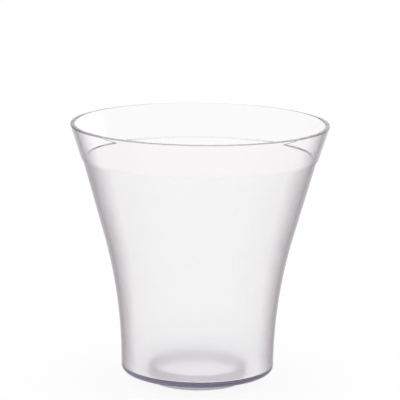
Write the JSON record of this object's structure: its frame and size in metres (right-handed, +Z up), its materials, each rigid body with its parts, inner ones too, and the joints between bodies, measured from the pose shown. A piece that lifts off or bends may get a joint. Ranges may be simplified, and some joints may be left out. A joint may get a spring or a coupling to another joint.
{
  "type": "champagne bucket",
  "caption": "Free-standing flared round clear plastic bucket for a bottle and ice: polished proud rim collar, satin wall, thick base and low foot ring.",
  "frame": {"origin": "centre of the foot ring's underside, on the surface the bucket stands on", "axes": "+Z up along the bucket's axis; the bucket is round, so +X and +Y are free"},
  "size_m": [0.2394, 0.2394, 0.2428],
  "materials": {
    "collar_clear": "clear, polished",
    "wall_satin": "clear with a fine satin surface",
    "base_clear": "clear, polished, violet where it is thick",
    "foot_clear": "clear, polished"
  },
  "bodies": {
    "root": {"rim_collar": "collar_clear", "bucket_wall": "wall_satin", "base_plate": "base_clear", "foot_ring": "foot_clear"}
  },
  "joints": []
}
